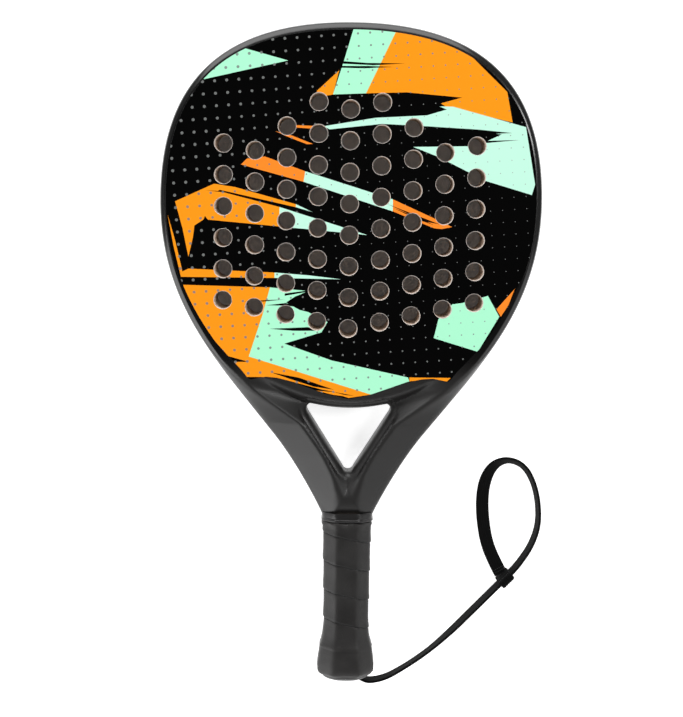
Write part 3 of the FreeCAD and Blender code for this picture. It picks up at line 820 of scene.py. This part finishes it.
edge_count = {}
for a, b, c in triangles:
    for edge in ((a, b), (b, c), (c, a)):
        edge_count[edge] = edge_count.get(edge, 0) + 1
open_edges = [edge for edge in edge_count if edge[::-1] not in edge_count]
reach, centre_of = hole_gap(flat)
count = len(flat)
on_hole = reach < HOLE_RADIUS + HOLE_RIM + 0.05
EASE = 0.08
on_border = np.zeros(count, bool)
on_border[[i for edge in open_edges for i in edge]] = True
on_border &= ~on_hole
inwards = np.array(FACE_MIDDLE) - flat
inwards /= np.linalg.norm(inwards, axis=1)[:, None]
top = np.where(on_border[:, None], flat + inwards * EASE, flat)
drawn_to_bore = centre_of + (flat - centre_of) * HOLE_RADIUS / np.maximum(reach, 1)[:, None]
bore = np.where(on_hole[:, None], drawn_to_bore, flat)
skin_under = FACE_Z - SKIN_THICK
skin_points = [(x, y, FACE_Z) for x, y in top] + [(x, y, skin_under) for x, y in flat]
skin_points += [(x, y, FACE_Z - (RIM_DEEP if hole else EASE)) for (x, y), hole in zip(bore, on_hole)]
skin_points += [(x, y, skin_under) for x, y in bore]
skin_faces = [tuple(t) for t in triangles] + [tuple(t + count)[::-1] for t in triangles]
skin_inks = list(inks) + ["black"] * len(triangles)
for a, b in open_edges:
    hole = on_hole[a] and on_hole[b]
    chain = [0, 2 * count, 3 * count, count] if hole else [0, 2 * count, count]
    for upper, lower in zip(chain, chain[1:]):
        skin_faces.append((a + upper, a + lower, b + lower, b + upper))
        skin_inks.append("rim" if hole else "black")

# Polyurethane lacquer over printed film: clear, glossy and level, with a very faint orange peel.
# The print's dot screen follows a slightly tilted grid, with dots that shrink towards the right.
DOT_PITCH = (0.0081, 0.0082)
DOT_TILT = math.radians(4.5)
DOT_FADE_PLACE = (0.06, 0.1, 0.038)
DOT_FADE_REACH = (0.06, 0.165)
DOT_RADII = (0.0003, 0.00098)
DOT_BLUR = 0.00006
film, tree = new_material("lacquered_printed_film")
ink_colour = add(tree, "ShaderNodeVertexColor", {"layer_name": "ink"})
places = add(tree, "ShaderNodeTexCoord")
grid_turn = add(tree, "ShaderNodeMapping", Vector=places.outputs["Object"], Rotation=(0, 0, -DOT_TILT))
cells = add(tree, "ShaderNodeVectorMath", {"operation": "DIVIDE"}, _0=grid_turn.outputs[0],
            _1=(*DOT_PITCH, 1.0))
within = add(tree, "ShaderNodeVectorMath", {"operation": "FRACTION"}, _0=cells.outputs[0])
centred = add(tree, "ShaderNodeVectorMath", {"operation": "SUBTRACT"}, _0=within.outputs[0],
              _1=(0.5, 0.5, 0.0))
spaced = add(tree, "ShaderNodeVectorMath", {"operation": "MULTIPLY"}, _0=centred.outputs[0],
             _1=(*DOT_PITCH, 0.0))
spread = add(tree, "ShaderNodeVectorMath", {"operation": "LENGTH"}, _0=spaced.outputs[0])
away = add(tree, "ShaderNodeVectorMath", {"operation": "DISTANCE"}, _0=places.outputs["Object"],
           _1=DOT_FADE_PLACE)
dot_size = add(tree, "ShaderNodeMapRange", _0=away.outputs["Value"], _1=DOT_FADE_REACH[0],
               _2=DOT_FADE_REACH[1], _3=DOT_RADII[0], _4=DOT_RADII[1])
shortfall = add(tree, "ShaderNodeMath", {"operation": "SUBTRACT"}, _0=dot_size.outputs[0],
                _1=spread.outputs["Value"])
dot = add(tree, "ShaderNodeMapRange", _0=shortfall.outputs[0], _1=-DOT_BLUR, _2=DOT_BLUR)
dot_strength = add(tree, "ShaderNodeMath", {"operation": "MULTIPLY"}, _0=dot.outputs[0], _1=0.85)
printed = add(tree, "ShaderNodeMix", {"data_type": "RGBA"}, _0=dot_strength.outputs[0],
              _6=ink_colour.outputs[0], _7=linear("#7c7f7d"))
ripple = add(tree, "ShaderNodeTexNoise", Vector=places.outputs["Object"], Scale=260.0, Detail=1.0)
bump = add(tree, "ShaderNodeBump", Strength=0.03, Distance=0.0002, Height=ripple.outputs["Fac"])
shader = add(tree, "ShaderNodeBsdfPrincipled", Base_Color=printed.outputs[2], Roughness=0.1,
             Normal=bump.outputs[0])
shader.inputs["Specular IOR Level"].default_value = 0.3
shader.inputs["Coat Weight"].default_value = 0.1
shader.inputs["Coat Roughness"].default_value = 0.04
add(tree, "ShaderNodeOutputMaterial", Surface=shader.outputs[0])

# The rear film mirrors the front one through the middle plane, so the drilled holes meet.
front_points = np.array(skin_points)
rear_points = front_points * (1, 1, -1) + (0, 0, FACE_Z)
rear_faces = [face[::-1] for face in skin_faces]
for name, points, faces, node in (("front_laminate", front_points, skin_faces, "front_skin"),
                                  ("rear_laminate", rear_points, rear_faces, "rear_skin")):
    laminate = mesh_piece(name, points * MM, faces, film)
    ink_layer = laminate.data.color_attributes.new("ink", "FLOAT_COLOR", "CORNER")
    for polygon, ink in zip(laminate.data.polygons, skin_inks):
        for corner in polygon.loop_indices:
            ink_layer.data[corner].color = linear(INKS[ink])
    laminate.data.shade_smooth()
    laminate.data.set_sharp_from_angle(angle=math.radians(25))
    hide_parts(node)
    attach(laminate, "racket")

# ---------------------------------------------------------------- core
# Closed-cell EVA foam that fills the head between the laminates. It shows only inside the holes.
core_foam, tree = new_material("closed_cell_eva_foam")
places = add(tree, "ShaderNodeTexCoord")
cells = add(tree, "ShaderNodeTexVoronoi", Vector=places.outputs["Object"], Scale=1600.0)
tone = add(tree, "ShaderNodeMix", {"data_type": "RGBA"}, _0=cells.outputs["Distance"],
           _6=linear("#dccbbd"), _7=linear("#f2e6da"))
bump = add(tree, "ShaderNodeBump", Strength=0.4, Distance=0.0002, Height=cells.outputs["Distance"])
shader = add(tree, "ShaderNodeBsdfPrincipled", Base_Color=tone.outputs[2], Roughness=0.85,
             Normal=bump.outputs[0])
add(tree, "ShaderNodeOutputMaterial", Surface=shader.outputs[0])


def finish_node(node, material):
    """Give a CAD node's own mesh a material."""
    mesh = bpy.data.objects[node].data
    mesh.materials.clear()
    mesh.materials.append(material)


finish_node("foam_core", core_foam)
finish_node("handle_pallet", core_foam)

# ---------------------------------------------------------------- grip tape
# Cushioned polyurethane tape, black and slightly tacky, wound down the eight-sided handle in one
# strip. Each turn lies over the last by a few millimetres, so its lower edge stands proud.
GRIP_TOP_Y = -112.0
GRIP_END_Y = -223.0
TURN_PITCH = 20.2
FIRST_SEAM_Y = -119.0
GRIP_COLUMNS = 128
TAPE_PRESS = 0.45
TURNS = range(-2, 6)
TOP_ROLL_Y = -114.2
FLARE_FOLD_Y = -201.6
# The laps fade out over this stretch, where the flare begins.
LAP_FADE_Y = -203
LAP_FADE = 12
# How far the corners are cut, and the number of stations that one smoothing step takes in.
CORNER_CUT = 1.5
SMOOTHING = 17
GRIP_STATIONS = [
    (-100, 17.3, 15.7),
    (-112, 17.1, 15.5),
    (-150, 16.4, 15.2),
    (-185, 15.9, 14.9),
    (-195, 16.8, 15.5),
    (-201, 18.3, 16.6),
    (-207, 19.3, 17.4),
    (-214, 20.3, 17.9),
    (-219, 20.1, 17.7),
    (-223, 18.2, 16.3),
]
# Height of the tape over the handle, by how far below a turn's own top edge it is, in millimetres.
LAP = [(0.0, -0.15), (0.12, -0.25), (0.4, -0.12), (1.2, 0.0), (2.6, 0.02), (4.5, 0.03), (6.5, 0.05),
       (8.5, 0.08), (10.5, 0.12), (12.5, 0.18), (14.5, 0.26), (16.3, 0.36), (17.6, 0.46), (18.6, 0.52),
       (19.3, 0.52), (19.7, 0.42), (19.95, 0.22), (20.1, 0.0)]

station_y, station_wide, station_deep = (np.array(c, float) for c in zip(*GRIP_STATIONS[::-1]))
smooth_y = np.linspace(GRIP_END_Y, GRIP_STATIONS[0][0], 493)
window = np.hanning(SMOOTHING) / np.hanning(SMOOTHING).sum()


def smoothed(values):
    """Station sizes at smooth_y, with the corners between stations rounded off."""
    fine = np.interp(smooth_y, station_y, values)
    padded_ends = np.pad(fine, SMOOTHING // 2, mode="reflect", reflect_type="odd")
    return np.convolve(padded_ends, window, mode="valid")


wide_fine, deep_fine = smoothed(station_wide), smoothed(station_deep)


def handle_radius(angle, y, crispness=24.0):
    """Distance from the handle's axis to its eight-sided surface, with soft corners."""
    across = np.abs(np.cos(angle)) / np.interp(y, smooth_y, wide_fine)
    upward = np.abs(np.sin(angle)) / np.interp(y, smooth_y, deep_fine)
    corner = (across + upward) / CORNER_CUT
    return (across ** crispness + upward ** crispness + corner ** crispness) ** (-1 / crispness)


def ring_points(angle, y, radius):
    """Points of a ring, or rings, about the handle's axis."""
    return np.stack([radius * np.cos(angle), y, MIDDLE_Z + radius * np.sin(angle)], -1)


rows = np.array([TURN_PITCH * turn_number + drop for turn_number in TURNS for drop, lift in LAP])
lifts = np.array([lift for turn_number in TURNS for drop, lift in LAP])[:, None]
column = np.arange(GRIP_COLUMNS)
angle = math.pi - 2 * math.pi * column / GRIP_COLUMNS
grip_y = FIRST_SEAM_Y - rows[:, None] - TURN_PITCH * column[None] / GRIP_COLUMNS
grip_y = np.clip(grip_y, GRIP_END_Y, GRIP_TOP_Y)
spiral = np.broadcast_to(angle, grip_y.shape)
on_shaft = np.clip((grip_y - LAP_FADE_Y) / LAP_FADE, 0, 1)
lifts = lifts * on_shaft
tucked_top = 1.2 * np.exp(-((grip_y - GRIP_TOP_Y) / 0.5) ** 2)
top_roll = 0.9 * np.exp(-((grip_y - TOP_ROLL_Y) / 1.2) ** 2) - tucked_top
flare_fold = 0.55 * np.exp(-((grip_y - FLARE_FOLD_Y + 0.8 * np.cos(spiral)) / 1.0) ** 2)
pulled = 0.12 * np.sin(grip_y * 0.9 + 2 * spiral) * np.sin(3 * spiral + grip_y * 0.15)
end_roll = -2.6 * np.exp(-((grip_y - GRIP_END_Y) / 1.7) ** 2)
grip_radius = handle_radius(spiral, grip_y) - TAPE_PRESS + lifts + top_roll + flare_fold
grip_radius = grip_radius + 0.4 * pulled + end_roll
grip_points = ring_points(spiral, grip_y, grip_radius).reshape(-1, 3)
lap_rows = len(LAP)
grip_faces = []
for row in range(len(rows) - 1):
    for i in range(GRIP_COLUMNS):
        here, below = row * GRIP_COLUMNS + i, (row + 1) * GRIP_COLUMNS + i
        if i + 1 < GRIP_COLUMNS:
            grip_faces.append((here, below, below + 1, here + 1))
        elif row + 1 + lap_rows < len(rows):
            next_turn = (row + lap_rows) * GRIP_COLUMNS
            grip_faces.append((here, below, next_turn + GRIP_COLUMNS, next_turn))

# Polyurethane with a fine embossed grain: dull in uneven patches, a little paler on its edges, and painted
# shade along each seam.
grip_material, tree = new_material("embossed_black_polyurethane")
places = add(tree, "ShaderNodeTexCoord")
grain = add(tree, "ShaderNodeTexVoronoi", {"feature": "SMOOTH_F1"}, Vector=places.outputs["Object"],
            Scale=1100.0, Smoothness=0.6)
patches = add(tree, "ShaderNodeTexNoise", Vector=places.outputs["Object"], Scale=70.0, Detail=4.0)
bends = add(tree, "ShaderNodeNewGeometry")
edges = add(tree, "ShaderNodeMapRange", _0=bends.outputs["Pointiness"], _1=0.49, _2=0.56)
tone = add(tree, "ShaderNodeMix", {"data_type": "RGBA"}, _0=patches.outputs["Fac"],
           _6=linear("#121110"), _7=linear("#1c1a19"))
wear = add(tree, "ShaderNodeMix", {"data_type": "RGBA"}, _0=edges.outputs[0], _6=tone.outputs[2],
           _7=linear("#242221"))
# Painted shade: the tape darkens towards near black by the seam attribute, just above and under each turn's
# lower edge.
lap_painted_shade = add(tree, "ShaderNodeAttribute", {"attribute_name": "lap_painted_shade"})
shade = add(tree, "ShaderNodeMix", {"data_type": "RGBA"}, _0=lap_painted_shade.outputs["Fac"], _6=wear.outputs[2],
            _7=linear("#080707"))
dull = add(tree, "ShaderNodeMapRange", _0=patches.outputs["Fac"], _1=0.3, _2=0.7, _3=0.44, _4=0.6)
bump = add(tree, "ShaderNodeBump", Strength=0.35, Distance=0.0002, Height=grain.outputs["Distance"])
shader = add(tree, "ShaderNodeBsdfPrincipled", Base_Color=shade.outputs[2], Roughness=dull.outputs[0],
             Normal=bump.outputs[0])
add(tree, "ShaderNodeOutputMaterial", Surface=shader.outputs[0])


def weld(piece, gap_size=1e-6):
    """Merge points that meet, drop faces that have no area, and close any open end flat."""
    work = bmesh.new()
    work.from_mesh(piece.data)
    bmesh.ops.remove_doubles(work, verts=work.verts, dist=gap_size)
    bmesh.ops.dissolve_degenerate(work, edges=work.edges, dist=gap_size)
    loose_points = [vertex for vertex in work.verts if not vertex.link_faces]
    bmesh.ops.delete(work, geom=loose_points, context="VERTS")
    bmesh.ops.holes_fill(work, edges=[edge for edge in work.edges if edge.is_boundary])
    work.to_mesh(piece.data)
    work.free()


grip = mesh_piece("wound_grip_tape", grip_points * MM, grip_faces, grip_material)
# Painted shade: the tape is darkened just above and under each turn's lower edge, where each turn overlaps
# the next.
drops = np.array([drop for turn_number in TURNS for drop, lift in LAP])
seam_painted_shade = np.clip(np.maximum(1 - (TURN_PITCH - drops) / 3.2, 1 - drops / 1.4), 0, 1) * 0.8
seam_painted_shade = np.repeat(seam_painted_shade, GRIP_COLUMNS) * on_shaft.ravel()
lap_painted_shade_layer = grip.data.attributes.new("lap_painted_shade", "FLOAT", "POINT")
lap_painted_shade_layer.data.foreach_set("value", seam_painted_shade.astype(np.float32))
weld(grip)
finish_normals(grip, math.radians(50))
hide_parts("grip_tape")
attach(grip, "racket")

# ---------------------------------------------------------------- finishing band
# Narrow glossy vinyl tape, wound round the grip's top edge to hold it down on the throat.
BAND_TOP_Y = -106.4
BAND_FLARE = 0.5
BAND_CRISPNESS = 22.0
band_profile = [(0.0, -1.2), (0.0, 0.02), (0.2, 0.14), (3.5, 0.16), (4.0, 0.22), (4.4, 0.44), (4.8, 0.7),
                (5.3, 0.84), (5.8, 0.7), (6.1, 0.3), (6.2, -0.2), (6.2, -1.2)]
band_points = []
for drop, lift in band_profile:
    y = np.full(GRIP_COLUMNS, BAND_TOP_Y - drop)
    flare = BAND_FLARE * np.clip(1 - drop / 3, 0, 1)
    band_points.append(ring_points(angle, y, handle_radius(angle, y, BAND_CRISPNESS) + lift + flare))
band_faces = []
for row in range(len(band_profile)):
    here, below = row * GRIP_COLUMNS, (row + 1) % len(band_profile) * GRIP_COLUMNS
    for i in range(GRIP_COLUMNS):
        j = (i + 1) % GRIP_COLUMNS
        band_faces.append((here + i, below + i, below + j, here + j))
band_vinyl, tree = new_material("stretched_black_vinyl_tape")
places = add(tree, "ShaderNodeTexCoord")
stretch = add(tree, "ShaderNodeTexNoise", Vector=places.outputs["Object"], Scale=300.0, Detail=3.0)
tone = add(tree, "ShaderNodeMix", {"data_type": "RGBA"}, _0=stretch.outputs["Fac"],
           _6=linear("#191818"), _7=linear("#232222"))
bump = add(tree, "ShaderNodeBump", Strength=0.2, Distance=0.0002, Height=stretch.outputs["Fac"])
shader = add(tree, "ShaderNodeBsdfPrincipled", Base_Color=tone.outputs[2], Roughness=0.32,
             Normal=bump.outputs[0])
add(tree, "ShaderNodeOutputMaterial", Surface=shader.outputs[0])
band = mesh_piece("finishing_band", np.concatenate(band_points) * MM, band_faces, band_vinyl)
finish_normals(band)
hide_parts("finishing_tape")
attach(band, "racket")

# ---------------------------------------------------------------- butt cap, its screws and the knot
# Moulded nylon cap, pushed into the handle and held by two small screws. The strap comes out of a
# hole in its end, held inside by a knot.
cap_plastic, tree = new_material("moulded_black_nylon")
places = add(tree, "ShaderNodeTexCoord")
spark = add(tree, "ShaderNodeTexNoise", Vector=places.outputs["Object"], Scale=1500.0, Detail=2.0)
tone = add(tree, "ShaderNodeMix", {"data_type": "RGBA"}, _0=spark.outputs["Fac"],
           _6=linear("#1a1919"), _7=linear("#262525"))
bump = add(tree, "ShaderNodeBump", Strength=0.25, Distance=0.0002, Height=spark.outputs["Fac"])
shader = add(tree, "ShaderNodeBsdfPrincipled", Base_Color=tone.outputs[2], Roughness=0.5,
             Normal=bump.outputs[0])
add(tree, "ShaderNodeOutputMaterial", Surface=shader.outputs[0])
CAP_RINGS = [(-207.0, 11.4, 11.4), (-222.0, 11.6, 11.6), (-222.2, 16.4, 14.4), (-223.2, 15.9, 13.8),
             (-224.2, 14.7, 12.4), (-225.1, 13.2, 10.8), (-225.9, 11.2, 9.0), (-226.6, 8.8, 6.8),
             (-227.2, 5.8, 4.4), (-227.5, 2.0, 1.6)]
CORD_HOLE = ((3.4, 7.3), (13.0, 19.9))
CUT_FROM_TO_Y = (-229.0, -208.5)
CAP_SIDES = 64
CAP_CRISPNESS = 14
cap_angle = 2 * math.pi * np.arange(CAP_SIDES) / CAP_SIDES
cap_points = []
for y, wide, deep in CAP_RINGS:
    across = np.abs(np.cos(cap_angle)) / wide
    upward = np.abs(np.sin(cap_angle)) / deep
    corner = (across + upward) / CORNER_CUT
    summed = across ** CAP_CRISPNESS + upward ** CAP_CRISPNESS + corner ** CAP_CRISPNESS
    radius = summed ** (-1 / CAP_CRISPNESS)
    cap_points.append(ring_points(cap_angle, np.full(CAP_SIDES, y), radius))
cap = mesh_piece("butt_cap_moulding", np.concatenate(cap_points) * MM, tube_faces(len(CAP_RINGS), CAP_SIDES),
                 cap_plastic)
finish_normals(cap)
(hole_x0, hole_z0), (hole_x1, hole_z1) = CORD_HOLE
hole_ring = rounded_loop(hole_x1 - hole_x0, hole_z1 - hole_z0, 2.0)
hole_centre = np.array(((hole_x0 + hole_x1) / 2, (hole_z0 + hole_z1) / 2))
cutter_points = [(x + hole_centre[0], y, z + hole_centre[1]) for y in CUT_FROM_TO_Y for x, z in hole_ring]
cutter = mesh_piece("cord_hole", np.array(cutter_points) * MM, tube_faces(2, len(hole_ring)))
finish_normals(cutter)
bore = cap.modifiers.new("cord_hole", "BOOLEAN")
bore.operation = "DIFFERENCE"
bore.solver = "EXACT"
bore.object = cutter
bpy.context.view_layer.update()
drilled_cap = bpy.data.meshes.new_from_object(cap.evaluated_get(bpy.context.evaluated_depsgraph_get()))
cap.modifiers.clear()
cap.data = drilled_cap
bpy.data.objects.remove(cutter)
cap.data.shade_smooth()
cap.data.set_sharp_from_angle(angle=math.radians(35))
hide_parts("butt_cap")
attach(cap, "racket")

screw_steel, tree = new_material("zinc_plated_steel")
places = add(tree, "ShaderNodeTexCoord")
brushing = add(tree, "ShaderNodeTexNoise", Vector=places.outputs["Object"], Scale=900.0, Detail=2.0)
gloss = add(tree, "ShaderNodeMapRange", _0=brushing.outputs["Fac"], _3=0.25, _4=0.45)
shader = add(tree, "ShaderNodeBsdfPrincipled", Metallic=1.0, Roughness=gloss.outputs[0])
shader.inputs["Base Color"].default_value = linear("#b9bbbd")
add(tree, "ShaderNodeOutputMaterial", Surface=shader.outputs[0])
finish_node("butt_cap_screws", screw_steel)

knot_webbing, tree = new_material("knotted_black_polyester")
places = add(tree, "ShaderNodeTexCoord")
twill = add(tree, "ShaderNodeTexWave", {"bands_direction": "DIAGONAL"}, Vector=places.outputs["Object"],
            Scale=1 / THREAD / BANDS_AT_SCALE_ONE)
tone = add(tree, "ShaderNodeMix", {"data_type": "RGBA"}, _0=twill.outputs["Fac"],
           _6=linear("#141416"), _7=linear("#2c2c2e"))
bump = add(tree, "ShaderNodeBump", Strength=0.5, Distance=0.0002, Height=twill.outputs["Fac"])
shader = add(tree, "ShaderNodeBsdfPrincipled", Base_Color=tone.outputs[2], Roughness=0.8,
             Normal=bump.outputs[0])
add(tree, "ShaderNodeOutputMaterial", Surface=shader.outputs[0])
finish_node("strap_knot", knot_webbing)
